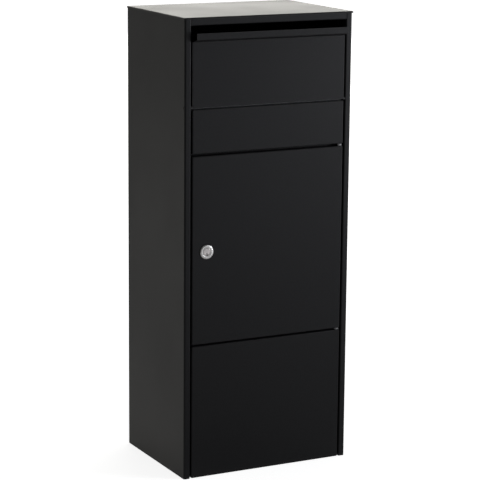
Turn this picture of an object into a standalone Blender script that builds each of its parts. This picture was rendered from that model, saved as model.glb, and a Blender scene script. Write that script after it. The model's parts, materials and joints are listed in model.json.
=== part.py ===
"""Free-standing parcel drop box of folded sheet steel.

The front faces -Y. The origin lies on the floor, at the centre of the cabinet's footprint.
A parcel is laid in the hopper behind the drop flap. As the flap closes, the hopper's tray tips
back and the parcel slides off it, past the tray's edge, to the floor of the locked compartment.
"""

import math

import bmesh
import bpy
from mathutils import Matrix, Vector

# Cabinet
CABINET_WIDTH = 0.400
CABINET_DEPTH = 0.292
CABINET_HEIGHT = 1.000
SHEET = 0.0015  # thickness of every folded panel
FOLD_RADIUS = 0.0008  # inside radius of the folds
FOLD_STEPS = 3
FOLD_STEP_LENGTH = 0.0008
CORNER_RADIUS = 0.0025  # inside radius of the side's front corner
SEAT = 0.0003  # gap between pieces that touch
STILE_WIDTH = 0.0145
STILE_DEPTH = 0.016
REAR_FLANGE = 0.018
ROOF_LIP = 0.004
RAIL_FLANGE = 0.010
RAIL_OVERLAP = 0.030  # how far a cross rail runs behind its fixed panel
REBATE = 0.008  # how far rails and keeper reach behind the door's edge
BASE_FLANGE = 0.020
WALL_HOLE_RADIUS = 0.004
WALL_HOLE_SPACING_X = 0.250
WALL_HOLE_SPACING_Z = 0.700
ANCHOR_HOLE_RADIUS = 0.0055
ANCHOR_HOLE_SPACING_X = 0.280
ANCHOR_HOLE_SPACING_Y = 0.180

# Front, from the floor up
SIDE_GAP = 0.0035  # shadow gap between a stile and the panels
FLOOR_DROP = 0.006  # compartment floor below the plinth's top
LOWER_DOOR_GAP = 0.0035
DOOR_HEIGHT = 0.4093
DOOR_DEPTH = 0.014
UPPER_DOOR_GAP = 0.005
STRIP_HEIGHT = 0.0950
FLAP_HEIGHT = 0.1605  # from the strip's upper edge to the top of the lip
SLOT_HEIGHT = 0.0146  # finger gap between the flap's lip and the header
HEADER_HEIGHT = 0.0175
HEADER_DEPTH = 0.015
HEADER_STOP = 0.008  # upturned edge that stops the hopper's horns

# Door hinge and its rubber bumpers
DOOR_PIN_RADIUS = 0.0025
DOOR_PIN_INSET = 0.006  # from the door's front face and from its edge
DOOR_PIN_GRIP = 0.006  # length of pin past the hinge washer
DOOR_PIN_HEAD_RADIUS = 0.004
DOOR_PIN_HEAD = 0.002
DOOR_WASHER_RADIUS = 0.005
BUMPER_RADIUS = 0.0035
BUMPER_SETBACK = 0.060  # from the door's upper and lower edges

# Drop flap and hopper
FLAP_PIN_INSET = 0.0038
FLAP_PIN_RADIUS = 0.0019
FLAP_PIN_RECESS = 0.001  # pin's end below the cabinet's side
FLAP_EDGE_DROP = 0.0005  # flap's lower edge below the pin's axis
LIP_REACH = 0.018
LIP_SLOPE = math.radians(15)  # rise of the lip's shelf towards the front
LIP_HEIGHT = 0.0136  # upright edge that the fingers pull
OPEN_ANGLE = math.radians(45)
TRAY_LENGTH = 0.190
TRAY_SLOPE = math.radians(35)
TRAY_FLANGE = 0.020
TRAY_HEM = 0.010
CHEEK_FOOT = 0.150  # length of a cheek along the tray
HORN_WIDTH = 0.012
HORN_OVERLAP = 0.005  # how far a horn reaches up behind the header's stop
BUFFER_RADIUS = 0.006
BUFFER_PLACE = 0.135  # along the tray, from the pin's axis

# Cam lock
LOCK_INSET = 0.034
LOCK_RISE = 0.2025
BEZEL_RADIUS = 0.0155
BEZEL_HEIGHT = 0.003
BEZEL_CHAMFER = 0.0012
BARREL_RADIUS = 0.0095
NUT_RADIUS = 0.0138
NUT_HEIGHT = 0.005
PLUG_FACE_RADIUS = 0.008
PLUG_FACE_HEIGHT = 0.0024
PLUG_RADIUS = 0.006
SHANK_RADIUS = 0.004
SHANK_FLAT = 0.003  # from the axis to each of the shank's flats
KEYWAY_WIDTH = 0.0018
KEYWAY_HEIGHT = 0.0060
KEYWAY_DEPTH = 0.006
KEYWAY_EDGE = 0.0008  # metal left below the keyway
CAM_REACH = 0.034
CAM_THICKNESS = 0.002
CAM_HUB_RADIUS = 0.0085
CAM_TIP_RADIUS = 0.006
SCREW_HEAD_RADIUS = 0.005
SCREW_HEAD_HEIGHT = 0.003
RECESS_WIDTH = 0.0014  # of each arm of the screw's cross recess
RECESS_LENGTH = 0.0054
RECESS_DEPTH = 0.0016
ROD_CHAMFER = 0.0004

ROUND_STEPS = 32
SMALL_ROUND_STEPS = 20

# Places that follow from the sizes
HALF_SHEET = SHEET / 2
FRONT = -CABINET_DEPTH / 2
BACK = CABINET_DEPTH / 2
SIDE = CABINET_WIDTH / 2
SIDE_INSIDE = SIDE - SHEET - SEAT
PANEL_SIDE = SIDE - STILE_WIDTH - SIDE_GAP
CASING_TOP = CABINET_HEIGHT - SHEET - SEAT
REAR_FLANGE_Y = BACK - SHEET - SEAT - HALF_SHEET
REAR_INSIDE = REAR_FLANGE_Y - HALF_SHEET - SEAT
RAIL_Y = FRONT + STILE_DEPTH + SEAT + HALF_SHEET
RAIL_BACK = RAIL_Y + HALF_SHEET + SEAT
HEADER_BOTTOM = CABINET_HEIGHT - HEADER_HEIGHT
LIP_TOP = HEADER_BOTTOM - SLOT_HEIGHT
LIP_FOLD = LIP_TOP - LIP_HEIGHT - LIP_REACH * math.tan(LIP_SLOPE)
STRIP_TOP = LIP_TOP - FLAP_HEIGHT
STRIP_BOTTOM = STRIP_TOP - STRIP_HEIGHT
DOOR_TOP = STRIP_BOTTOM - UPPER_DOOR_GAP
DOOR_BOTTOM = DOOR_TOP - DOOR_HEIGHT
PLINTH_HEIGHT = DOOR_BOTTOM - LOWER_DOOR_GAP
LOBE_RADIUS = FLAP_PIN_INSET - SEAT
FLAP_AXIS = Vector((0, FRONT + FLAP_PIN_INSET, STRIP_TOP + SEAT + LOBE_RADIUS))
FLAP_BOTTOM = FLAP_AXIS.z - FLAP_EDGE_DROP
CHEEK_SIDE = PANEL_SIDE - SHEET  # inner face of a cheek
DOOR_AXIS = Vector((PANEL_SIDE - DOOR_PIN_INSET, FRONT + DOOR_PIN_INSET, DOOR_BOTTOM))
LOCK_AXIS = Vector((LOCK_INSET - PANEL_SIDE, FRONT, DOOR_BOTTOM + LOCK_RISE))
CAM_FRONT = -(STILE_DEPTH + SHEET + 2 * SEAT)  # outward from the door's face

ALONG_X = (0, math.pi / 2, 0)
FACING_FRONT = (math.pi / 2, 0, 0)
FACING_SIDE = (math.pi / 2, 0, math.pi / 2)


def clear_scene():
    for old in list(bpy.data.objects):
        bpy.data.objects.remove(old, do_unlink=True)


def make_collection(name):
    collection = bpy.data.collections.new(name)
    bpy.context.scene.collection.children.link(collection)
    return collection


def make_material(name, colour, roughness, metallic=0.0):
    material = bpy.data.materials.new(name)
    material.use_nodes = True
    shader = material.node_tree.nodes["Principled BSDF"]
    shader.inputs["Base Color"].default_value = (*colour, 1.0)
    shader.inputs["Roughness"].default_value = roughness
    shader.inputs["Metallic"].default_value = metallic
    return material


def add_axis(name, place, parent=None):
    """Empty that carries the pieces turning about it."""
    empty = bpy.data.objects.new(name, None)
    PARTS.objects.link(empty)
    empty.parent = parent
    empty.location = place - origin_of(parent)
    return empty


def origin_of(empty):
    """World position of an unturned empty, or the world's origin for none."""
    place = Vector()
    while empty is not None:
        place += empty.location
        empty = empty.parent
    return place


def add_piece(name, data, carrier, material):
    """Object in the part's collection, carried by an empty."""
    data.materials.append(material)
    piece = bpy.data.objects.new(name, data)
    PARTS.objects.link(piece)
    piece.parent = carrier
    return piece


def add_world_mesh(name, bm, carrier, material):
    """Object from a mesh built in world positions, with its origin on its carrier."""
    bmesh.ops.translate(bm, verts=bm.verts, vec=-origin_of(carrier))
    mesh = bpy.data.meshes.new(name)
    bm.to_mesh(mesh)
    bm.free()
    return add_piece(name, mesh, carrier, material)


def thicken(piece):
    """Sheet thickness, half to each side of the modelled surface."""
    solidify = piece.modifiers.new("sheet", "SOLIDIFY")
    solidify.thickness = SHEET
    solidify.offset = 0
    solidify.use_even_offset = True
    return piece


def rounded_path(points, radii):
    """Open polyline with an arc at each inner corner, of that corner's radius."""
    path = [points[0]]
    for before, corner, after, radius in zip(points, points[1:], points[2:], radii):
        back = (before - corner).normalized()
        ahead = (after - corner).normalized()
        half = back.angle(ahead) / 2
        centre = corner + (back + ahead).normalized() * radius / math.sin(half)
        start = corner + back * radius / math.tan(half) - centre
        end = corner + ahead * radius / math.tan(half) - centre
        turn = math.copysign(math.pi - 2 * half, start.x * end.y - start.y * end.x)
        steps = max(FOLD_STEPS, round(abs(turn) * radius / FOLD_STEP_LENGTH))
        for step in range(steps + 1):
            path.append(centre + Matrix.Rotation(turn * step / steps, 2) @ start)
    path.append(points[-1])
    return path


def folded_sheet(name, axis, corners, low, high, carrier, material, inside_radii=None):
    """Sheet folded along the corners of a section and running along axis from low to high.

    The corners lie on the middle of the sheet: (y, z) along X, and (x, y) along Z.
    """
    inside_radii = inside_radii or [FOLD_RADIUS] * (len(corners) - 2)
    radii = [inside + HALF_SHEET for inside in inside_radii]
    path = rounded_path([Vector(corner) for corner in corners], radii)
    bm = bmesh.new()
    if axis == "X":
        row = [bm.verts.new((low, point.x, point.y)) for point in path]
        run = Vector((high - low, 0, 0))
    else:
        row = [bm.verts.new((point.x, point.y, low)) for point in path]
        run = Vector((0, 0, high - low))
    edges = [bm.edges.new(pair) for pair in zip(row, row[1:])]
    swept = bmesh.ops.extrude_edge_only(bm, edges=edges)["geom"]
    moved = [item for item in swept if isinstance(item, bmesh.types.BMVert)]
    bmesh.ops.translate(bm, verts=moved, vec=run)
    return thicken(add_world_mesh(name, bm, carrier, material))


def folded_pan(name, low, high, open_side, carrier, material):
    """Shallow tray of folded sheet that fills the box from low to high, open towards open_side."""
    low, high, open_side = Vector(low), Vector(high), Vector(open_side)
    for axis in range(3):
        low[axis] += HALF_SHEET * (open_side[axis] >= 0)
        high[axis] -= HALF_SHEET * (open_side[axis] <= 0)
    bm = box_mesh(low, high)
    bm.normal_update()
    lid = max(bm.faces, key=lambda face: face.normal.dot(open_side))
    rim = set(lid.edges)
    bmesh.ops.delete(bm, geom=[lid], context="FACES_ONLY")
    folds = [edge for edge in bm.edges if edge not in rim]
    radius = FOLD_RADIUS + HALF_SHEET
    bmesh.ops.bevel(bm, geom=folds, offset=radius, segments=FOLD_STEPS, profile=0.5, affect="EDGES")
    return thicken(add_world_mesh(name, bm, carrier, material))


def box_mesh(low, high):
    low, high = Vector(low), Vector(high)
    size = Matrix.Diagonal((*(high - low), 1))
    bm = bmesh.new()
    bmesh.ops.create_cube(bm, size=1, matrix=Matrix.Translation((low + high) / 2) @ size)
    return bm


def turned(name, profile, turn, place, carrier, material, steps=ROUND_STEPS):
    """Round piece. Its profile of (radius, height) runs down the outer side."""
    closed = profile[0][0] > 0
    bm = bmesh.new()
    row = [bm.verts.new((radius, 0, height)) for radius, height in profile]
    for pair in zip(row, row[1:] + row[:1] if closed else row[1:]):
        bm.edges.new(pair)
    mesh = bpy.data.meshes.new(name)
    bm.to_mesh(mesh)
    bm.free()
    piece = add_piece(name, mesh, carrier, material)
    piece.location = Vector(place) - origin_of(carrier)
    piece.rotation_euler = turn
    screw = piece.modifiers.new("turned", "SCREW")
    screw.axis = "Z"
    screw.steps = steps
    screw.render_steps = steps
    screw.use_merge_vertices = True
    screw.merge_threshold = 0.00001
    screw.use_smooth_shade = True
    return piece


def flat_plate(name, outlines, thickness, turn, place, carrier, material):
    """Flat piece from an outer outline and the outlines of its holes."""
    curve = bpy.data.curves.new(name, "CURVE")
    curve.dimensions = "2D"
    curve.fill_mode = "BOTH"
    curve.extrude = thickness / 2
    for outline in outlines:
        spline = curve.splines.new("POLY")
        spline.points.add(len(outline) - 1)
        spline.use_cyclic_u = True
        for point, (across, up) in zip(spline.points, outline):
            point.co = (across, up, 0, 1)
    piece = add_piece(name, curve, carrier, material)
    piece.location = Vector(place) - origin_of(carrier)
    piece.rotation_euler = turn
    return piece


def arc(radius, start, end, steps, centre=(0, 0)):
    """Points on an arc, both ends included, with angles from the first axis."""
    points = []
    for step in range(steps + 1):
        angle = start + (end - start) * step / steps
        points.append((centre[0] + radius * math.cos(angle), centre[1] + radius * math.sin(angle)))
    return points


def circle(radius, steps=SMALL_ROUND_STEPS):
    return arc(radius, 0, math.tau, steps)[:-1]


def rod_profile(radius, half):
    """Half section of a rod with chamfered ends."""
    rim = radius - ROD_CHAMFER
    side = half - ROD_CHAMFER
    return [(0, half), (rim, half), (radius, side), (radius, -side), (rim, -half), (0, -half)]


def cut(target, bm):
    """Takes a cutter, built in world positions, out of a piece."""
    bmesh.ops.translate(bm, verts=bm.verts, vec=-origin_of(target.parent))
    mesh = bpy.data.meshes.new(target.name + "_cut")
    bm.to_mesh(mesh)
    bm.free()
    cutter = bpy.data.objects.new(mesh.name, mesh)
    CUTTERS.objects.link(cutter)
    cutter.parent = target.parent
    cutter.display_type = "WIRE"
    cutter.hide_render = True
    boolean = target.modifiers.new("cut", "BOOLEAN")
    boolean.operation = "DIFFERENCE"
    boolean.object = cutter


def drill(target, places, radius, length, turn=(0, 0, 0), steps=SMALL_ROUND_STEPS):
    """Round holes centred on world positions, along Z or as turned."""
    bm = bmesh.new()
    turning = Matrix.Rotation(turn[1], 4, "Y") @ Matrix.Rotation(turn[0], 4, "X")
    for place in places:
        bmesh.ops.create_cone(
            bm,
            cap_ends=True,
            segments=steps,
            radius1=radius,
            radius2=radius,
            depth=length,
            matrix=Matrix.Translation(place) @ turning,
        )
    cut(target, bm)


def corners_of(spacing_across, spacing_up):
    """Offsets of four holes on a rectangle."""
    return [(a * spacing_across / 2, b * spacing_up / 2) for a in (-1, 1) for b in (-1, 1)]


def make_side_panel(name, side):
    """Side with its front stile and rear flange, for side -1 or +1."""
    stile_x = side * (SIDE - STILE_WIDTH + HALF_SHEET)
    outer_x = side * (SIDE - HALF_SHEET)
    corners = [
        (stile_x, FRONT + STILE_DEPTH),
        (stile_x, FRONT + HALF_SHEET),
        (outer_x, FRONT + HALF_SHEET),
        (outer_x, REAR_FLANGE_Y),
        (side * (SIDE - REAR_FLANGE), REAR_FLANGE_Y),
    ]
    radii = (FOLD_RADIUS, CORNER_RADIUS, FOLD_RADIUS)
    panel = folded_sheet(name, "Z", corners, 0, CASING_TOP, CABINET, BLACK, radii)
    pin_place = Vector((side * SIDE, FLAP_AXIS.y, FLAP_AXIS.z))
    drill(panel, [pin_place], FLAP_PIN_RADIUS + SEAT, 3 * STILE_WIDTH, ALONG_X)


def make_back_panel():
    bm = box_mesh((-SIDE, BACK - SHEET, 0), (SIDE, BACK, CASING_TOP))
    panel = add_world_mesh("back_panel", bm, CABINET, BLACK)
    holes = [
        (across, BACK - HALF_SHEET, CABINET_HEIGHT / 2 + up)
        for across, up in corners_of(WALL_HOLE_SPACING_X, WALL_HOLE_SPACING_Z)
    ]
    drill(panel, holes, WALL_HOLE_RADIUS, 4 * SHEET, FACING_FRONT)


def make_base_plate():
    low = (-SIDE_INSIDE, FRONT + STILE_DEPTH + SEAT, 0)
    base = folded_pan("base_plate", low, (SIDE_INSIDE, REAR_INSIDE, BASE_FLANGE), (0, 0, 1), CABINET, ZINC)
    holes = [
        (across, deep, HALF_SHEET)
        for across, deep in corners_of(ANCHOR_HOLE_SPACING_X, ANCHOR_HOLE_SPACING_Y)
    ]
    drill(base, holes, ANCHOR_HOLE_RADIUS, 4 * SHEET)


def make_compartment_floor():
    top = PLINTH_HEIGHT - FLOOR_DROP
    reach = SIDE_INSIDE - SHEET - SEAT
    low = (-reach, RAIL_BACK, top - BASE_FLANGE)
    folded_pan("compartment_floor", low, (reach, REAR_INSIDE, top), (0, 0, -1), CABINET, ZINC)


def make_roof_cap():
    reach_x = SIDE + SEAT + SHEET
    reach_y = BACK + SEAT + SHEET
    low = (-reach_x, -reach_y, CABINET_HEIGHT - ROOF_LIP)
    folded_pan("roof_cap", low, (reach_x, reach_y, CABINET_HEIGHT), (0, 0, -1), CABINET, BLACK)


def make_header_rail():
    """Rail over the slot. Its upturned rear edge stops the hopper's horns."""
    reach = SIDE - STILE_WIDTH - SEAT
    top = CASING_TOP - HALF_SHEET
    bottom = HEADER_BOTTOM + HALF_SHEET
    rear = FRONT + HEADER_DEPTH - HALF_SHEET
    corners = [
        (rear, top),
        (FRONT + HALF_SHEET, top),
        (FRONT + HALF_SHEET, bottom),
        (rear, bottom),
        (rear, HEADER_BOTTOM + HEADER_STOP),
    ]
    folded_sheet("header_rail", "X", corners, -reach, reach, CABINET, BLACK)


def make_cross_rail(name, low, high):
    """Channel behind the stiles, with its flanges on the side panels."""
    flange_x = SIDE_INSIDE - HALF_SHEET
    flange_end = RAIL_Y + RAIL_FLANGE
    corners = [
        (-flange_x, flange_end),
        (-flange_x, RAIL_Y),
        (flange_x, RAIL_Y),
        (flange_x, flange_end),
    ]
    folded_sheet(name, "Z", corners, low, high, CABINET, BLACK)


def make_strip_panel():
    """Fixed strip. Its upper edge is open behind, which leaves the hopper room to tip."""
    low = (-PANEL_SIDE, FRONT, STRIP_BOTTOM)
    high = (PANEL_SIDE, FRONT + STILE_DEPTH, STRIP_TOP)
    strip = folded_pan("strip_panel", low, high, (0, 1, 0), CABINET, BLACK)
    room_low = (-SIDE, FRONT + SHEET + FOLD_RADIUS, STRIP_TOP - REAR_FLANGE)
    cut(strip, box_mesh(room_low, (SIDE, RAIL_Y, FLAP_AXIS.z)))
    drill(strip, [(DOOR_AXIS.x, DOOR_AXIS.y, STRIP_BOTTOM)], DOOR_PIN_RADIUS + SEAT, 4 * SHEET)


def make_plinth_panel():
    low = (-PANEL_SIDE, FRONT, 0)
    high = (PANEL_SIDE, FRONT + STILE_DEPTH, PLINTH_HEIGHT)
    plinth = folded_pan("plinth_panel", low, high, (0, 1, 0), CABINET, BLACK)
    drill(plinth, [(DOOR_AXIS.x, DOOR_AXIS.y, PLINTH_HEIGHT)], DOOR_PIN_RADIUS + SEAT, 4 * SHEET)


def make_keeper_strip():
    """Angle on the left stile. The cam catches behind it, and the door closes against it."""
    root_x = -SIDE + STILE_WIDTH + SEAT + HALF_SHEET
    corners = [
        (root_x, FRONT + STILE_DEPTH / 3),
        (root_x, RAIL_Y),
        (REBATE - PANEL_SIDE, RAIL_Y),
    ]
    low = DOOR_BOTTOM + REBATE + SEAT
    high = DOOR_TOP - REBATE - SEAT
    folded_sheet("keeper_strip", "Z", corners, low, high, CABINET, BLACK)


def make_bumpers():
    """Rubber discs on the keeper strip, under the door's left flange."""
    face = FRONT + DOOR_DEPTH + SEAT
    thick = STILE_DEPTH - DOOR_DEPTH - SEAT
    profile = [(0, thick), (BUMPER_RADIUS, thick), (BUMPER_RADIUS, 0), (0, 0)]
    heights = {"upper": DOOR_TOP - BUMPER_SETBACK, "lower": DOOR_BOTTOM + BUMPER_SETBACK}
    for label, height in heights.items():
        place = (BUMPER_RADIUS - PANEL_SIDE, face + thick, height)
        turned(f"door_bumper_{label}", profile, FACING_FRONT, place, CABINET, RUBBER, SMALL_ROUND_STEPS)


def make_door_hinge(label, up, panel_edge, gap):
    """Headed pin in a fixed panel, and the washer between that panel and the door.

    up is +1 where the fixed panel lies above the door, and -1 where it lies below.
    """
    head = SHEET + SEAT + DOOR_PIN_HEAD
    end = -(gap + DOOR_PIN_GRIP)
    profile = [
        (0, head),
        (DOOR_PIN_HEAD_RADIUS, head),
        (DOOR_PIN_HEAD_RADIUS, SHEET + SEAT),
        (DOOR_PIN_RADIUS, SHEET + SEAT),
        (DOOR_PIN_RADIUS, end + ROD_CHAMFER),
        (DOOR_PIN_RADIUS - ROD_CHAMFER, end),
        (0, end),
    ]
    turn = (0, 0, 0) if up > 0 else (math.pi, 0, 0)
    place = (DOOR_AXIS.x, DOOR_AXIS.y, panel_edge)
    turned(f"door_{label}_pin", profile, turn, place, CABINET, STEEL, SMALL_ROUND_STEPS)
    bore = DOOR_PIN_RADIUS + SEAT
    washer = [
        (bore, -SEAT),
        (DOOR_WASHER_RADIUS, -SEAT),
        (DOOR_WASHER_RADIUS, SEAT - gap),
        (bore, SEAT - gap),
    ]
    turned(f"door_{label}_washer", washer, turn, place, CABINET, NYLON, SMALL_ROUND_STEPS)


def make_door():
    low = (-PANEL_SIDE, FRONT, DOOR_BOTTOM)
    high = (PANEL_SIDE, FRONT + DOOR_DEPTH, DOOR_TOP)
    door = folded_pan("door_panel", low, high, (0, 1, 0), DOOR, BLACK)
    drill(door, [LOCK_AXIS], BARREL_RADIUS + SEAT, 4 * SHEET, FACING_FRONT, ROUND_STEPS)
    pins = [(DOOR_AXIS.x, DOOR_AXIS.y, edge) for edge in (DOOR_BOTTOM, DOOR_TOP)]
    drill(door, pins, DOOR_PIN_RADIUS + SEAT, 4 * SHEET)


def make_lock_housing():
    """Bezel and barrel in one, bored for the plug. Heights run outward from the door's face."""
    face_bore = PLUG_FACE_RADIUS + SEAT
    bore = PLUG_RADIUS + SEAT
    step = BEZEL_HEIGHT - PLUG_FACE_HEIGHT - SEAT
    rear = CAM_FRONT + SEAT
    profile = [
        (face_bore, BEZEL_HEIGHT),
        (BEZEL_RADIUS - BEZEL_CHAMFER, BEZEL_HEIGHT),
        (BEZEL_RADIUS, BEZEL_HEIGHT - BEZEL_CHAMFER),
        (BEZEL_RADIUS, SEAT),
        (BARREL_RADIUS, SEAT),
        (BARREL_RADIUS, rear),
        (bore, rear),
        (bore, step),
        (face_bore, step),
    ]
    turned("lock_housing", profile, FACING_FRONT, LOCK_AXIS, DOOR, NICKEL)


def make_lock_nut():
    hexagon = circle(NUT_RADIUS, 6)
    bore = circle(BARREL_RADIUS + SEAT, ROUND_STEPS)
    place = LOCK_AXIS + Vector((0, SHEET + SEAT + NUT_HEIGHT / 2, 0))
    flat_plate("lock_nut", [hexagon, bore], NUT_HEIGHT, FACING_FRONT, place, DOOR, STEEL)


def make_lock_plug():
    """Turned plug with a keyway in its face and a flatted shank for the cam."""
    shank_end = CAM_FRONT - CAM_THICKNESS
    step = BEZEL_HEIGHT - PLUG_FACE_HEIGHT
    shank_start = CAM_FRONT + SEAT
    profile = [
        (0, BEZEL_HEIGHT),
        (PLUG_FACE_RADIUS, BEZEL_HEIGHT),
        (PLUG_FACE_RADIUS, step),
        (PLUG_RADIUS, step),
        (PLUG_RADIUS, shank_start),
        (SHANK_RADIUS, shank_start),
        (SHANK_RADIUS, shank_end),
        (0, shank_end),
    ]
    plug = turned("lock_plug", profile, FACING_FRONT, LOCK_AXIS, LOCK, NICKEL)
    keyway_low = Vector((-KEYWAY_WIDTH / 2, -2 * BEZEL_HEIGHT, KEYWAY_EDGE - PLUG_FACE_RADIUS))
    keyway_size = Vector((KEYWAY_WIDTH, 2 * BEZEL_HEIGHT + KEYWAY_DEPTH - BEZEL_HEIGHT, KEYWAY_HEIGHT))
    cut(plug, box_mesh(LOCK_AXIS + keyway_low, LOCK_AXIS + keyway_low + keyway_size))
    for side in (-1, 1):
        inner = Vector((-BARREL_RADIUS, -shank_start, side * SHANK_FLAT))
        outer = Vector((BARREL_RADIUS, 2 * SHEET - shank_end, side * BARREL_RADIUS))
        low = Vector(map(min, inner, outer))
        cut(plug, box_mesh(LOCK_AXIS + low, LOCK_AXIS + Vector(map(max, inner, outer))))


def make_lock_cam():
    """Lever with a hub end, a smaller tip towards -X and a hole that fits the flatted shank."""
    distance = CAM_REACH - CAM_TIP_RADIUS
    lean = math.acos((CAM_HUB_RADIUS - CAM_TIP_RADIUS) / distance)
    hub = arc(CAM_HUB_RADIUS, lean - math.pi, math.pi - lean, SMALL_ROUND_STEPS)
    tip = arc(CAM_TIP_RADIUS, math.pi - lean, math.pi + lean, SMALL_ROUND_STEPS // 2, (-distance, 0))
    radius = SHANK_RADIUS + SEAT
    flat = math.asin((SHANK_FLAT + SEAT) / radius)
    hole = arc(radius, -flat, flat, 6) + arc(radius, math.pi - flat, math.pi + flat, 6)
    place = LOCK_AXIS + Vector((0, CAM_THICKNESS / 2 - CAM_FRONT, 0))
    flat_plate("lock_cam", [hub + tip, hole], CAM_THICKNESS, FACING_FRONT, place, LOCK, STEEL)


def make_cam_screw():
    place = LOCK_AXIS + Vector((0, CAM_THICKNESS + SEAT - CAM_FRONT, 0))
    profile = [
        (0, 0),
        (SCREW_HEAD_RADIUS, 0),
        (SCREW_HEAD_RADIUS, BEZEL_CHAMFER - SCREW_HEAD_HEIGHT),
        (SCREW_HEAD_RADIUS - BEZEL_CHAMFER, -SCREW_HEAD_HEIGHT),
        (0, -SCREW_HEAD_HEIGHT),
    ]
    screw = turned("cam_screw", profile, FACING_FRONT, place, LOCK, STEEL, SMALL_ROUND_STEPS)
    head = place + Vector((0, SCREW_HEAD_HEIGHT, 0))
    for width, height in ((RECESS_WIDTH, RECESS_LENGTH), (RECESS_LENGTH, RECESS_WIDTH)):
        reach = Vector((width / 2, RECESS_DEPTH, height / 2))
        cut(screw, box_mesh(head - reach, head + reach))


def make_drop_flap():
    """Face of the flap. Its grip lip runs out over the front and turns up."""
    middle = FRONT + HALF_SHEET
    corners = [
        (middle, FLAP_BOTTOM),
        (middle, LIP_FOLD),
        (middle - LIP_REACH, LIP_TOP - LIP_HEIGHT),
        (middle - LIP_REACH, LIP_TOP),
    ]
    reach = CHEEK_SIDE - SEAT
    folded_sheet("drop_flap", "X", corners, -reach, reach, FLAP, BLACK)


def make_hopper_tray():
    """Tray that slopes down and back from the flap's lower edge, with a hem at its end."""
    middle = FRONT + SHEET + SEAT + HALF_SHEET
    rise = (FLAP_AXIS.y - middle) * math.tan(TRAY_SLOPE)
    end_y = FLAP_AXIS.y + TRAY_LENGTH * math.cos(TRAY_SLOPE)
    end_z = FLAP_AXIS.z - TRAY_LENGTH * math.sin(TRAY_SLOPE)
    corners = [
        (middle, FLAP_AXIS.z + TRAY_FLANGE),
        (middle, FLAP_AXIS.z + rise),
        (end_y, end_z),
        (end_y, end_z - TRAY_HEM),
    ]
    reach = CHEEK_SIDE - SEAT
    folded_sheet("hopper_tray", "X", corners, -reach, reach, FLAP, ZINC)


def cheek_outline():
    """Cheek's outline about the pin: a sector, a horn that stops it, and a foot along the tray."""
    radius = LIP_FOLD - FLAP_AXIS.z - SHEET
    stop_y = HEADER_DEPTH - FLAP_PIN_INSET + SEAT
    horn_radius = HEADER_BOTTOM - FLAP_AXIS.z + HORN_OVERLAP
    horn_angle = OPEN_ANGLE + math.asin(stop_y / horn_radius)
    front = Vector((0, 1))
    along = Matrix.Rotation(-horn_angle, 2) @ front
    across = Matrix.Rotation(-math.pi / 2, 2) @ along
    shelf = FOLD_RADIUS + SHEET
    foot = Vector((shelf, -LOBE_RADIUS))
    heel = foot + CHEEK_FOOT * Vector((math.cos(TRAY_SLOPE), -math.sin(TRAY_SLOPE)))
    rise = math.sqrt(radius * radius - LOBE_RADIUS * LOBE_RADIUS)
    sector_start = math.atan2(rise, -LOBE_RADIUS)
    sector_end = math.pi / 2 - horn_angle
    outline = arc(LOBE_RADIUS, math.pi, 1.5 * math.pi, 8)
    outline += [tuple(foot), tuple(heel)]
    outline += [tuple(along * reach + across * HORN_WIDTH) for reach in (radius, horn_radius)]
    outline += [tuple(along * horn_radius)]
    outline += arc(radius, sector_end, sector_start, SMALL_ROUND_STEPS)
    return outline


def make_hopper_cheek(name, side):
    hole = circle(FLAP_PIN_RADIUS + SEAT)
    place = FLAP_AXIS + Vector((side * (PANEL_SIDE - HALF_SHEET), 0, 0))
    flat_plate(name, [cheek_outline(), hole], SHEET, FACING_SIDE, place, FLAP, BLACK)


def make_flap_hinge(label, side):
    """Pin from the cabinet's side to the cheek, and the washer between stile and cheek."""
    start = SIDE - FLAP_PIN_RECESS
    end = CHEEK_SIDE + SEAT
    half = (start - end) / 2
    profile = rod_profile(FLAP_PIN_RADIUS, half)
    place = FLAP_AXIS + Vector((side * (start + end) / 2, 0, 0))
    turned(f"flap_pin_{label}", profile, ALONG_X, place, CABINET, BLACK_STEEL, SMALL_ROUND_STEPS)
    half = SIDE_GAP / 2 - SEAT
    bore = FLAP_PIN_RADIUS + SEAT
    washer = [(bore, half), (LOBE_RADIUS, half), (LOBE_RADIUS, -half), (bore, -half)]
    place = FLAP_AXIS + Vector((side * (PANEL_SIDE + SIDE_GAP / 2), 0, 0))
    turned(f"flap_washer_{label}", washer, ALONG_X, place, CABINET, BLACK_NYLON, SMALL_ROUND_STEPS)


def make_flap_buffer(label, side):
    """Rubber rod on the side panel, under the resting tray."""
    foot_angle = -TRAY_SLOPE
    along = Vector((0, math.cos(foot_angle), math.sin(foot_angle)))
    below = Vector((0, math.sin(foot_angle), -math.cos(foot_angle)))
    foot = Vector((0, FOLD_RADIUS + SHEET, -LOBE_RADIUS))
    start = SIDE_INSIDE
    end = CHEEK_SIDE - 2 * SHEET
    half = (start - end) / 2
    place = FLAP_AXIS + foot + along * BUFFER_PLACE + below * (BUFFER_RADIUS + SEAT)
    place.x = side * (start + end) / 2
    profile = rod_profile(BUFFER_RADIUS, half)
    turned(f"flap_buffer_{label}", profile, ALONG_X, place, CABINET, RUBBER, SMALL_ROUND_STEPS)


def make_cabinet():
    make_back_panel()
    make_base_plate()
    make_compartment_floor()
    make_roof_cap()
    make_header_rail()
    make_cross_rail("upper_cross_rail", DOOR_TOP - REBATE, STRIP_TOP - RAIL_OVERLAP)
    make_cross_rail("lower_cross_rail", PLINTH_HEIGHT - RAIL_OVERLAP, DOOR_BOTTOM + REBATE)
    make_strip_panel()
    make_plinth_panel()
    make_keeper_strip()
    make_bumpers()
    make_door_hinge("upper", 1, STRIP_BOTTOM, UPPER_DOOR_GAP)
    make_door_hinge("lower", -1, PLINTH_HEIGHT, LOWER_DOOR_GAP)


def make_lock():
    make_lock_housing()
    make_lock_nut()
    make_lock_plug()
    make_lock_cam()
    make_cam_screw()


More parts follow.
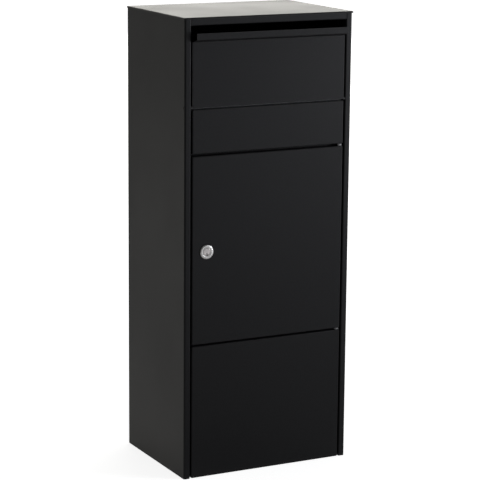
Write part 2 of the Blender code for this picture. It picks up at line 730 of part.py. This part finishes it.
def make_two_sided_pieces():
    for label, side in (("left", -1), ("right", 1)):
        make_side_panel(f"{label}_side_panel", side)
        make_hopper_cheek(f"hopper_cheek_{label}", side)
        make_flap_hinge(label, side)
        make_flap_buffer(label, side)


clear_scene()
PARTS = make_collection("parcel_drop_box")
CUTTERS = make_collection("cutters")
CABINET = add_axis("cabinet_origin", Vector())
DOOR = add_axis("door_axis", DOOR_AXIS, CABINET)
LOCK = add_axis("lock_axis", LOCK_AXIS, DOOR)
FLAP = add_axis("flap_axis", FLAP_AXIS, CABINET)
BLACK = make_material("black powder coat", (0.020, 0.020, 0.021), 0.5)
ZINC = make_material("galvanised steel", (0.42, 0.43, 0.44), 0.45, 0.9)
STEEL = make_material("bright steel", (0.55, 0.55, 0.56), 0.3, 1.0)
BLACK_STEEL = make_material("black oxide steel", (0.060, 0.060, 0.062), 0.4, 1.0)
NICKEL = make_material("nickel plate", (0.72, 0.70, 0.66), 0.22, 1.0)
NYLON = make_material("grey nylon", (0.35, 0.35, 0.36), 0.5)
BLACK_NYLON = make_material("black nylon", (0.030, 0.030, 0.031), 0.5)
RUBBER = make_material("black rubber", (0.025, 0.025, 0.025), 0.8)
make_cabinet()
make_door()
make_lock()
make_drop_flap()
make_hopper_tray()
make_two_sided_pieces()
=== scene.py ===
import json
import math

import bpy
from mathutils import Matrix, Vector


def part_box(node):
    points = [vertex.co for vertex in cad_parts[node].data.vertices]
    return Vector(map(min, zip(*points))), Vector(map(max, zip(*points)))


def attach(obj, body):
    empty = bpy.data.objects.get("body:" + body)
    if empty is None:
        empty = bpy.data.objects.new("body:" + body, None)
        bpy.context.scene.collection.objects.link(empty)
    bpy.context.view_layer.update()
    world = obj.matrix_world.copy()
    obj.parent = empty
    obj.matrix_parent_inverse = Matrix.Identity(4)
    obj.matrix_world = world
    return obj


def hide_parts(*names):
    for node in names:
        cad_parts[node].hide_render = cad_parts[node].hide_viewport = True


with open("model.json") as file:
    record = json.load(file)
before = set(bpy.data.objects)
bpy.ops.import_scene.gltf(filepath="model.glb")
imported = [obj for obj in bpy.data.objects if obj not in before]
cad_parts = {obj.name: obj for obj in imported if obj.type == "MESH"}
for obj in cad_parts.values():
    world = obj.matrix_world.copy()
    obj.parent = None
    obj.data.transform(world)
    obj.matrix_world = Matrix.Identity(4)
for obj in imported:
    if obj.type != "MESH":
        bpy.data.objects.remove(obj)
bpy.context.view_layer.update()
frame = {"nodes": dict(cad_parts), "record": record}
nodes = frame["nodes"]
scene = bpy.context.scene
scene.view_settings.view_transform = "Standard"
print("frame loaded:", len(nodes), "nodes")

white = (1.0, 1.0, 1.0)
coolWhite = (0.92, 0.94, 1.0)
warmWhite = (1.0, 0.985, 0.93)


# Small helpers for node trees
def newMaterial(name):
    material = bpy.data.materials.new(name)
    material.use_nodes = True
    return material, material.node_tree, material.node_tree.nodes["Principled BSDF"]


def objectPoint(tree):
    return tree.nodes.new("ShaderNodeTexCoord").outputs["Object"]


def alongAxes(tree, vector):
    apart = tree.nodes.new("ShaderNodeSeparateXYZ")
    tree.links.new(vector, apart.inputs[0])
    return apart.outputs


def noise(tree, point, scale, detail=4.0, rough=0.5):
    node = tree.nodes.new("ShaderNodeTexNoise")
    node.inputs["Scale"].default_value = scale
    node.inputs["Detail"].default_value = detail
    node.inputs["Roughness"].default_value = rough
    tree.links.new(point, node.inputs["Vector"])
    return node.outputs["Fac"]


def remap(tree, value, fromLow, fromHigh, toLow=0.0, toHigh=1.0):
    node = tree.nodes.new("ShaderNodeMapRange")
    node.inputs["From Min"].default_value = fromLow
    node.inputs["From Max"].default_value = fromHigh
    node.inputs["To Min"].default_value = toLow
    node.inputs["To Max"].default_value = toHigh
    tree.links.new(value, node.inputs["Value"])
    return node.outputs[0]


def calc(tree, operation, first, second=0.0):
    node = tree.nodes.new("ShaderNodeMath")
    node.operation = operation
    for socket, value in zip(node.inputs, (first, second)):
        if isinstance(value, (int, float)):
            socket.default_value = value
        else:
            tree.links.new(value, socket)
    return node.outputs[0]


def mixColour(tree, amount, first, second):
    node = tree.nodes.new("ShaderNodeMix")
    node.data_type = "RGBA"
    tree.links.new(amount, node.inputs["Factor"])
    for socket, value in ((node.inputs[6], first), (node.inputs[7], second)):
        if isinstance(value, tuple):
            socket.default_value = (*value, 1)
        else:
            tree.links.new(value, socket)
    return node.outputs[2]


def bump(tree, shader, height, distance):
    node = tree.nodes.new("ShaderNodeBump")
    node.inputs["Distance"].default_value = distance
    tree.links.new(height, node.inputs["Height"])
    tree.links.new(node.outputs[0], shader.inputs["Normal"])


# Studio: the photograph's camera, white paper and soft boxes
studio = {
    "cameraPlace": (-1.9946, -3.9088, 1.4104),
    "cameraAim": (-0.0681, -0.1460, 0.5194),
    "cameraLens": 151.1,
    "cameraRoll": 0.0081,  # the photograph leans by half a degree
    "sensorWidth": 36,
    "viewDepth": 200,
    "floorColour": (0.86, 0.86, 0.855),
    "floorSize": 60.0,
    "floorGlow": 0.80,  # what the camera sees on top of the light that falls on the floor
    "farGlow": 1.0,  # the lamps don't reach the floor further out
    "glowReach": (0.6, 2.6),
    "fill": 0.16,
    "mirroredDark": 0.06,  # what the finishes mirror on the dark side of the room
    "mirroredLeft": 0.73,  # and on its left
    "backdropMiddle": 0.37,  # white backdrop behind the cabinet, as directions along X
    "backdropHalf": 0.45,
    "softEdge": 0.06,
    "nearFloor": 0.30,  # mirrored floor beside the cabinet, and further out
    "farFloor": 0.06,
    "besideReach": (0.4, 2.6),
    "aheadReach": (2.0, 3.0),  # in front the mirrored floor is dark up to here, then white
    "frontAlong": (-0.05, -0.25),  # where the floor in front of the cabinet starts along Y
    "frontAcross": (-0.3, -0.1),  # and along X
    "besideAlong": (-0.6, -0.2),
    "floorRoughness": 0.9,
    "floorSpecular": 0.1,
}

lamps = {  # place, aim, width, height, watts, tint
    "frontBox": ((2.5, -2.0, 1.0), (0, -0.146, 0.6), 0.8, 1.3, 25, coolWhite),
    "frontStrip": ((1.25, -1.30, 0.80), (0, -0.146, 0.7), 0.4, 0.6, 2.4, coolWhite),
    "leftStrip": ((-2.2, 1.8, 0.15), (-0.2, 0, 0.1), 1.6, 0.3, 3.6, warmWhite),
    "topSoftbox": ((-0.4, -0.6, 3.4), (0, 0, 0.9), 1.6, 1.6, 4.8, white),
    "rightBox": ((2.6, 2.2, 1.5), (0, 0, 1.0), 1.5, 2.0, 5.5, white),
    "rearPanel": ((4.6, 7.0, 2.6), (0, 0, 1.0), 7.0, 4.0, 204, warmWhite),
}


def aimAt(place, aim):
    return (Vector(aim) - Vector(place)).to_track_quat("-Z", "Y").to_matrix()


def makeCamera():
    data = bpy.data.cameras.new("camera")
    data.sensor_width = studio["sensorWidth"]
    data.lens = studio["cameraLens"]
    data.clip_end = studio["viewDepth"]
    camera = bpy.data.objects.new("camera", data)
    scene.collection.objects.link(camera)
    turn = aimAt(studio["cameraPlace"], studio["cameraAim"])
    turn = turn @ Matrix.Rotation(studio["cameraRoll"], 3, "Z")
    camera.matrix_world = Matrix.Translation(studio["cameraPlace"]) @ turn.to_4x4()
    scene.camera = camera


def makeLamps():
    for name, (place, aim, width, height, watts, tint) in lamps.items():
        data = bpy.data.lights.new(name, "AREA")
        data.shape = "RECTANGLE"
        data.size = width
        data.size_y = height
        data.energy = watts
        data.color = tint
        lamp = bpy.data.objects.new(name, data)
        scene.collection.objects.link(lamp)
        lamp.matrix_world = Matrix.Translation(place) @ aimAt(place, aim).to_4x4()
        lamp.visible_camera = False


def seenDirectly(tree, path):
    through = path.outputs["Is Transmission Ray"]
    return calc(tree, "MAXIMUM", path.outputs["Is Camera Ray"], through)


def makeWorld():
    world = bpy.data.worlds.new("studio")
    scene.world = world
    world.use_nodes = True
    tree = world.node_tree
    tree.nodes.clear()
    path = tree.nodes.new("ShaderNodeLightPath")
    direction = tree.nodes.new("ShaderNodeTexCoord").outputs["Generated"]
    across, along, _ = alongAxes(tree, direction)
    soft = studio["softEdge"]
    behind = remap(tree, along, -soft, soft)
    leftRoom = remap(tree, across, soft, -soft, 0.0, studio["mirroredLeft"])
    aside = calc(tree, "ABSOLUTE", calc(tree, "SUBTRACT", across, studio["backdropMiddle"]))
    backdrop = remap(tree, aside, studio["backdropHalf"] + soft, studio["backdropHalf"] - soft)
    room = calc(tree, "MULTIPLY", calc(tree, "MAXIMUM", leftRoom, backdrop), behind)
    glossy = path.outputs["Is Glossy Ray"]
    mirrored = calc(tree, "MULTIPLY", glossy, room)
    fill = remap(tree, glossy, 0.0, 1.0, studio["fill"], studio["mirroredDark"])
    level = calc(tree, "MAXIMUM", seenDirectly(tree, path), mirrored)
    level = calc(tree, "MAXIMUM", level, fill)
    background = tree.nodes.new("ShaderNodeBackground")
    tree.links.new(mixColour(tree, glossy, white, warmWhite), background.inputs["Color"])
    tree.links.new(level, background.inputs["Strength"])
    output = tree.nodes.new("ShaderNodeOutputWorld")
    tree.links.new(background.outputs[0], output.inputs["Surface"])


def makeFloor():
    half = studio["floorSize"] / 2
    mesh = bpy.data.meshes.new("floor")
    corners = [(-half, -half, 0), (half, -half, 0), (half, half, 0), (-half, half, 0)]
    mesh.from_pydata(corners, [], [(0, 1, 2, 3)])
    floor = bpy.data.objects.new("floor", mesh)
    scene.collection.objects.link(floor)
    material, tree, shader = newMaterial("floor paper")
    shader.inputs["Base Color"].default_value = (*studio["floorColour"], 1)
    shader.inputs["Roughness"].default_value = studio["floorRoughness"]
    shader.inputs["Specular IOR Level"].default_value = studio["floorSpecular"]
    path = tree.nodes.new("ShaderNodeLightPath")
    direct = seenDirectly(tree, path)
    place = objectPoint(tree)
    across, along, _ = alongAxes(tree, place)
    length = tree.nodes.new("ShaderNodeVectorMath")
    length.operation = "LENGTH"
    tree.links.new(place, length.inputs[0])
    reach = length.outputs["Value"]
    frontAlong = remap(tree, along, *studio["frontAlong"])
    frontAcross = remap(tree, across, *studio["frontAcross"])
    inFront = calc(tree, "MULTIPLY", frontAlong, frontAcross)
    levels = (studio["nearFloor"], studio["farFloor"])
    beside = remap(tree, reach, *studio["besideReach"], *levels)
    beside = calc(tree, "MULTIPLY", beside, remap(tree, along, *studio["besideAlong"]))
    beside = calc(tree, "MULTIPLY", beside, calc(tree, "SUBTRACT", 1.0, inFront))
    ahead = calc(tree, "MULTIPLY", remap(tree, reach, *studio["aheadReach"]), inFront)
    mirrored = calc(tree, "ADD", beside, ahead)
    mirrored = calc(tree, "MULTIPLY", path.outputs["Is Glossy Ray"], mirrored)
    seen = remap(tree, reach, *studio["glowReach"], studio["floorGlow"], studio["farGlow"])
    glow = calc(tree, "MAXIMUM", calc(tree, "MULTIPLY", direct, seen), mirrored)
    tree.links.new(glow, shader.inputs["Emission Strength"])
    tint = mixColour(tree, direct, mixColour(tree, inFront, warmWhite, coolWhite), white)
    tree.links.new(tint, shader.inputs["Emission Color"])
    mesh.materials.append(material)


makeCamera()
makeLamps()
makeWorld()
makeFloor()
print("studio ready")

# Finishes
coat = {
    "colour": (0.0118, 0.0118, 0.0126),
    "dusty": (0.0156, 0.0156, 0.0165),
    # lighter edge colour: coat rubbed thin, and a painted edge highlight
    "worn": (0.055, 0.054, 0.052),
    "roughness": (0.385, 0.435),
    "specular": 0.16,
    "cloudScale": 5.0,
    "cloudRange": (0.35, 0.65),
    "fleckScale": 260.0,
    "fleckRange": (0.3, 0.7),
    "wearAndHighlightRange": (0.35, 0.7),
    "leastWearAndHighlight": 0.15,
    "grainScale": 900.0,
    "grainHeight": 0.00006,
    "wearAndHighlightWidth": 0.0012,  # the coat is lighter this far in from an edge of the part's box: rubbed coat and a painted edge highlight
}


def edgeDistance(tree, point, low, high):
    here = alongAxes(tree, point)
    gaps = []
    for axis in range(3):
        fromLow = calc(tree, "SUBTRACT", here[axis], low[axis])
        fromHigh = calc(tree, "SUBTRACT", high[axis], here[axis])
        gaps.append(calc(tree, "MINIMUM", fromLow, fromHigh))
    nearer = calc(tree, "MINIMUM", gaps[0], gaps[1])
    farther = calc(tree, "MAXIMUM", gaps[0], gaps[1])
    return calc(tree, "MAXIMUM", nearer, calc(tree, "MINIMUM", farther, gaps[2]))


def powderCoat(name, node):
    low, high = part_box(node)
    material, tree, shader = newMaterial(name)
    point = objectPoint(tree)
    flecks = noise(tree, point, coat["fleckScale"], 3.0, 0.6)
    spread = remap(tree, flecks, *coat["fleckRange"])
    base = mixColour(tree, spread, coat["colour"], coat["dusty"])
    # a lighter band along the outline of the part's box: rubbed coat and a painted edge
    # highlight
    ragged = remap(tree, flecks, *coat["wearAndHighlightRange"], coat["leastWearAndHighlight"], 1.0)
    ragged = calc(tree, "MULTIPLY", ragged, coat["wearAndHighlightWidth"])
    rubAndEdgeHighlight = calc(tree, "DIVIDE", edgeDistance(tree, point, low, high), ragged)
    rubAndEdgeHighlight = remap(tree, rubAndEdgeHighlight, 1.0, 0.0)
    tree.links.new(mixColour(tree, rubAndEdgeHighlight, base, coat["worn"]), shader.inputs["Base Color"])
    clouds = noise(tree, point, coat["cloudScale"], 3.0)
    rough = remap(tree, clouds, *coat["cloudRange"], *coat["roughness"])
    tree.links.new(rough, shader.inputs["Roughness"])
    shader.inputs["Specular IOR Level"].default_value = coat["specular"]
    bump(tree, shader, noise(tree, point, coat["grainScale"], 2.0), coat["grainHeight"])
    return material


zinc = {
    "bright": (0.46, 0.47, 0.48),
    "dull": (0.33, 0.34, 0.35),
    "spangleScale": 90.0,
    "spangleShare": 0.6,
    "roughness": (0.36, 0.55),
    "metallic": 0.45,  # passivated, so it looks more grey than mirror-like
    "cloudScale": 14.0,
    "grainScale": 300.0,
    "grainHeight": 0.00004,
}


def galvanised(name):
    material, tree, shader = newMaterial(name)
    point = objectPoint(tree)
    cells = tree.nodes.new("ShaderNodeTexVoronoi")
    cells.inputs["Scale"].default_value = zinc["spangleScale"]
    tree.links.new(point, cells.inputs["Vector"])
    tone = tree.nodes.new("ShaderNodeSeparateColor")
    tree.links.new(cells.outputs["Color"], tone.inputs[0])
    spangle = calc(tree, "MULTIPLY", tone.outputs[0], zinc["spangleShare"])
    clouds = noise(tree, point, zinc["cloudScale"])
    clouds = calc(tree, "MULTIPLY", clouds, 1 - zinc["spangleShare"])
    amount = calc(tree, "ADD", spangle, clouds)
    colour = mixColour(tree, amount, zinc["dull"], zinc["bright"])
    tree.links.new(colour, shader.inputs["Base Color"])
    rough = remap(tree, amount, 0.0, 1.0, *zinc["roughness"])
    tree.links.new(rough, shader.inputs["Roughness"])
    shader.inputs["Metallic"].default_value = zinc["metallic"]
    bump(tree, shader, noise(tree, point, zinc["grainScale"]), zinc["grainHeight"])
    return material


metals = {  # colour, tarnished colour, lowest and highest roughness
    "zinc plate": ((0.62, 0.62, 0.63), (0.50, 0.50, 0.50), 0.26, 0.40),
    "black oxide steel": ((0.030, 0.030, 0.032), (0.050, 0.049, 0.048), 0.38, 0.50),
    "nickel plate": ((0.78, 0.76, 0.72), (0.62, 0.59, 0.55), 0.18, 0.30),
    "bezel nickel": ((0.72, 0.71, 0.69), (0.60, 0.585, 0.56), 0.34, 0.43),
    "plug nickel": ((0.66, 0.62, 0.60), (0.54, 0.51, 0.49), 0.30, 0.42),
    "keyway shade": ((0.020, 0.019, 0.018), (0.045, 0.043, 0.040), 0.50, 0.70),
}
plating = {
    "cloudScale": 120.0,
    "tarnishRange": (0.35, 0.7),
    "roughRange": (0.3, 0.7),
    "grainScale": 2600.0,
    "grainHeight": 0.000008,
}


def plated(name):
    bright, dull, roughLow, roughHigh = metals[name]
    material, tree, shader = newMaterial(name)
    point = objectPoint(tree)
    clouds = noise(tree, point, plating["cloudScale"], 5.0, 0.6)
    colour = mixColour(tree, remap(tree, clouds, *plating["tarnishRange"]), bright, dull)
    tree.links.new(colour, shader.inputs["Base Color"])
    rough = remap(tree, clouds, *plating["roughRange"], roughLow, roughHigh)
    tree.links.new(rough, shader.inputs["Roughness"])
    shader.inputs["Metallic"].default_value = 1.0
    grain = noise(tree, point, plating["grainScale"], 2.0)
    bump(tree, shader, grain, plating["grainHeight"])
    return material


mouldings = {  # colour, worn colour, roughness
    "grey nylon": ((0.36, 0.36, 0.37), (0.31, 0.31, 0.32), 0.50),
    "black nylon": ((0.024, 0.024, 0.025), (0.034, 0.034, 0.035), 0.45),
    "black rubber": ((0.022, 0.022, 0.022), (0.030, 0.030, 0.030), 0.75),
}
moulding = {
    "cloudScale": 200.0,
    "roughRange": (0.3, 0.7),
    "roughSpread": 0.06,
    "grainScale": 1800.0,
    "grainHeight": 0.00002,
}


def moulded(name):
    colour, worn, rough = mouldings[name]
    material, tree, shader = newMaterial(name)
    point = objectPoint(tree)
    clouds = noise(tree, point, moulding["cloudScale"])
    tree.links.new(mixColour(tree, clouds, colour, worn), shader.inputs["Base Color"])
    spread = moulding["roughSpread"]
    rough = remap(tree, clouds, *moulding["roughRange"], rough - spread, rough + spread)
    tree.links.new(rough, shader.inputs["Roughness"])
    grain = noise(tree, point, moulding["grainScale"], 2.0)
    bump(tree, shader, grain, moulding["grainHeight"])
    return material


slotFinishes = {  # the record's material slots
    "galvanised": galvanised("galvanised sheet"),
    "steel": plated("zinc plate"),
    "black_steel": plated("black oxide steel"),
    "nickel": plated("nickel plate"),
    "nylon": moulded("grey nylon"),
    "black_nylon": moulded("black nylon"),
    "rubber": moulded("black rubber"),
}

for part in frame["record"]["subparts"]:
    name, slot = part["node"], part["material_slot"]
    finish = slotFinishes.get(slot) or powderCoat("coat " + name.replace("_", " "), name)
    nodes[name].data.materials.clear()
    nodes[name].data.materials.append(finish)
print("finishes on")


# Modelling by hand
def deselectAll():
    if bpy.context.mode != "OBJECT":
        bpy.ops.object.mode_set(mode="OBJECT")
    bpy.ops.object.select_all(action="DESELECT")


def pickUp(piece):
    deselectAll()
    piece.select_set(True)
    bpy.context.view_layer.objects.active = piece


def latheByHand(name, profile, sides, ring):
    deselectAll()
    radius, height = profile[0]
    bpy.ops.mesh.primitive_circle_add(vertices=sides, radius=radius, location=(0, 0, height))
    piece = bpy.context.object
    piece.name = piece.data.name = name
    bpy.ops.object.transform_apply()
    bpy.ops.object.mode_set(mode="EDIT")
    bpy.ops.mesh.select_all(action="SELECT")
    for nextRadius, nextHeight in profile[1:]:
        rise = {"value": (0, 0, nextHeight - height)}
        bpy.ops.mesh.extrude_edges_move(TRANSFORM_OT_translate=rise)
        scale = nextRadius / radius
        bpy.ops.transform.resize(value=(scale, scale, 1), center_override=(0, 0, nextHeight))
        radius, height = nextRadius, nextHeight
    if not ring:
        bpy.ops.mesh.edge_face_add()  # the last loop's cap, then the first loop's
    bpy.ops.mesh.select_all(action="DESELECT")
    bpy.ops.mesh.select_non_manifold()
    if ring:
        bpy.ops.mesh.bridge_edge_loops()
    else:
        bpy.ops.mesh.edge_face_add()
    bpy.ops.mesh.select_all(action="SELECT")
    bpy.ops.mesh.normals_make_consistent(inside=False)
    bpy.ops.object.mode_set(mode="OBJECT")
    return piece


def faceOutward(piece, place):  # the piece's +Z becomes the cabinet's front, -Y
    piece.rotation_euler = (math.pi / 2, 0, 0)
    piece.location = place
    pickUp(piece)
    bpy.ops.object.transform_apply()


def carve(piece, low, high):
    deselectAll()
    middle = (low + high) / 2
    bpy.ops.mesh.primitive_cube_add(size=1, location=middle, scale=high - low)
    cutter = bpy.context.object
    bpy.ops.object.transform_apply()
    boolean = piece.modifiers.new("carve", "BOOLEAN")
    boolean.object = cutter
    bpy.context.view_layer.objects.active = piece
    bpy.ops.object.modifier_apply(modifier=boolean.name)
    bpy.data.objects.remove(cutter)


edgeAngle = math.radians(50)  # edges sharper than this are broken
smoothAngle = math.radians(35)


def roundEdges(piece, width):
    bevel = piece.modifiers.new("round", "BEVEL")
    bevel.width = width
    bevel.segments = 1
    bevel.limit_method = "ANGLE"
    bevel.angle_limit = edgeAngle
    pickUp(piece)
    bpy.ops.object.modifier_apply(modifier=bevel.name)
    bpy.ops.object.shade_smooth_by_angle(angle=smoothAngle)


def nodeSizes(name, frontFace):
    low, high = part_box(name)
    centre = Vector(((low.x + high.x) / 2, frontFace, (low.z + high.z) / 2))
    return centre, (high.x - low.x) / 2, frontFace - low.y, frontFace - high.y


# Cam lock: bezel with a domed rim and a threaded barrel, and the plug with its keyway
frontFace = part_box("door_panel")[0].y

bezelSizes = {
    "sides": 96,
    "seat": 0.0003,  # between the rim and the door
    "plugGap": 0.0003,
    "boreFoot": 0.0003,
    "boreChamfer": 0.0003,
    "landWidth": 0.0012,  # turned land between the plug and the groove
    "grooveWidth": 0.0005,
    "grooveDepth": 0.0004,
    "grooveSlope": (0.0001, 0.0002),
    "rimRise": 0.0017,  # straight part of the rim
    "domeShare": 0.72,
    "domeSteps": 6,
    "barrelRadius": 0.0095,
    "rearBore": 0.0063,
    "threadStart": 0.0020,
    "threadPitch": 0.0010,
    "threadDepth": 0.0004,
    "plainTurns": 3,
    "edgeBreak": 0.00006,
}


def bezelProfile(radius, proud, rear, bore):
    s = bezelSizes
    land = bore + s["landWidth"]
    grooveFloor = proud - s["grooveDepth"]
    chamfer = s["boreChamfer"]
    profile = [(bore, s["boreFoot"]), (bore, proud - chamfer), (bore + chamfer, proud)]
    profile += [(land, proud), (land + s["grooveSlope"][0], grooveFloor)]
    profile += [(land + s["grooveWidth"], grooveFloor)]
    flat = land + s["grooveWidth"] + s["grooveSlope"][1]
    profile += [(flat, proud)]
    domeWide = (radius - flat) * s["domeShare"]
    domeHigh = proud - s["rimRise"]
    for index in range(s["domeSteps"] + 1):
        angle = math.pi / 2 * index / s["domeSteps"]
        across = radius - domeWide + domeWide * math.sin(angle)
        profile.append((across, s["rimRise"] + domeHigh * math.cos(angle)))
    profile += [(radius, s["seat"]), (s["barrelRadius"], s["seat"])]
    height = s["seat"] - s["threadStart"]
    for index in range(int((s["seat"] - rear) / s["threadPitch"]) - s["plainTurns"]):
        profile.append((s["barrelRadius"], height))
        profile.append((s["barrelRadius"] - s["threadDepth"], height - s["threadPitch"] / 2))
        height -= s["threadPitch"]
    profile += [(s["barrelRadius"], height), (s["barrelRadius"], rear)]
    profile += [(s["rearBore"], rear), (s["rearBore"], s["boreFoot"])]
    return profile


def makeBezel():
    centre, radius, proud, rear = nodeSizes("lock_housing", frontFace)
    bore = nodeSizes("lock_plug", frontFace)[1] + bezelSizes["plugGap"]
    profile = bezelProfile(radius, proud, rear, bore)
    bezel = latheByHand("lockBezel", profile, bezelSizes["sides"], True)
    faceOutward(bezel, centre)
    roundEdges(bezel, bezelSizes["edgeBreak"])
    bezel.data.materials.append(plated("bezel nickel"))
    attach(bezel, "door")
    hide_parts("lock_housing")


plugSizes = {
    "sides": 96,
    "dish": 0.0003,
    "dishCentre": 0.0020,
    "rimFoot": 0.0012,  # the raised rim, measured in from the plug's edge
    "rimInner": 0.0008,
    "rimOuter": 0.0002,
    "rimChamfer": 0.0003,
    "stepHeight": 0.0006,
    "bodyRadius": 0.0060,
    "shankRadius": 0.0040,
    "shankStart": -0.0178,
    "flatStart": 0.0180,  # the two flats that turn the cam
    "flatHalf": 0.0030,
    "slotWidth": 0.0020,
    "slotLow": -0.0081,
    "slotHigh": -0.0024,
    "slotDepth": 0.003,  # behind the door's face
    "flare": 0.0008,
    "flareDepth": 0.0005,
    "flareDrop": 0.0022,  # the flare ends this far below the slot's top
    "edgeBreak": 0.00005,
}


def makePlug():
    s = plugSizes
    centre, radius, proud, rear = nodeSizes("lock_plug", frontFace)
    face = proud - s["dish"]
    profile = [(s["dishCentre"], face), (radius - s["rimFoot"], face)]
    profile += [(radius - s["rimInner"], proud), (radius - s["rimOuter"], proud)]
    profile += [(radius, proud - s["rimChamfer"]), (radius, s["stepHeight"])]
    profile += [(s["bodyRadius"], s["stepHeight"]), (s["bodyRadius"], s["shankStart"])]
    profile += [(s["shankRadius"], s["shankStart"]), (s["shankRadius"], rear)]
    plug = latheByHand("lockPlugFace", profile, s["sides"], False)
    faceOutward(plug, centre)
    half = s["slotWidth"] / 2
    slotLow = centre + Vector((-half, -2 * proud, s["slotLow"]))
    slotHigh = centre + Vector((half, s["slotDepth"], s["slotHigh"]))
    flareBack = centre.y - face + s["flareDepth"]
    flareLow = slotLow - Vector((s["flare"], 0, 0))
    flareHigh = Vector((slotHigh.x + s["flare"], flareBack, slotHigh.z - s["flareDrop"]))
    carve(plug, flareLow, flareHigh)
    carve(plug, slotLow, slotHigh)
    reach = 2 * s["shankRadius"]
    for low, high in ((s["flatHalf"], reach), (-reach, -s["flatHalf"])):
        flatLow = centre + Vector((-reach, s["flatStart"], low))
        carve(plug, flatLow, centre + Vector((reach, 2 * s["flatStart"], high)))
    roundEdges(plug, s["edgeBreak"])
    plug.data.materials.append(plated("plug nickel"))
    # the keyway's inside faces get a near-black finish: painted shade in the slot
    plug.data.materials.append(plated("keyway shade"))
    margin = s["edgeBreak"]
    slotMouth = centre.y - face + margin
    for polygon in plug.data.polygons:
        x, y, z = polygon.center
        inWidth = slotLow.x - margin < x < slotHigh.x + margin
        inHeight = slotLow.z - margin < z < slotHigh.z + margin
        if inWidth and inHeight and slotMouth < y < slotHigh.y + margin:
            polygon.material_index = 1
    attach(plug, "lock_cylinder")
    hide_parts("lock_plug")


makeBezel()
makePlug()
print("lock modelled")
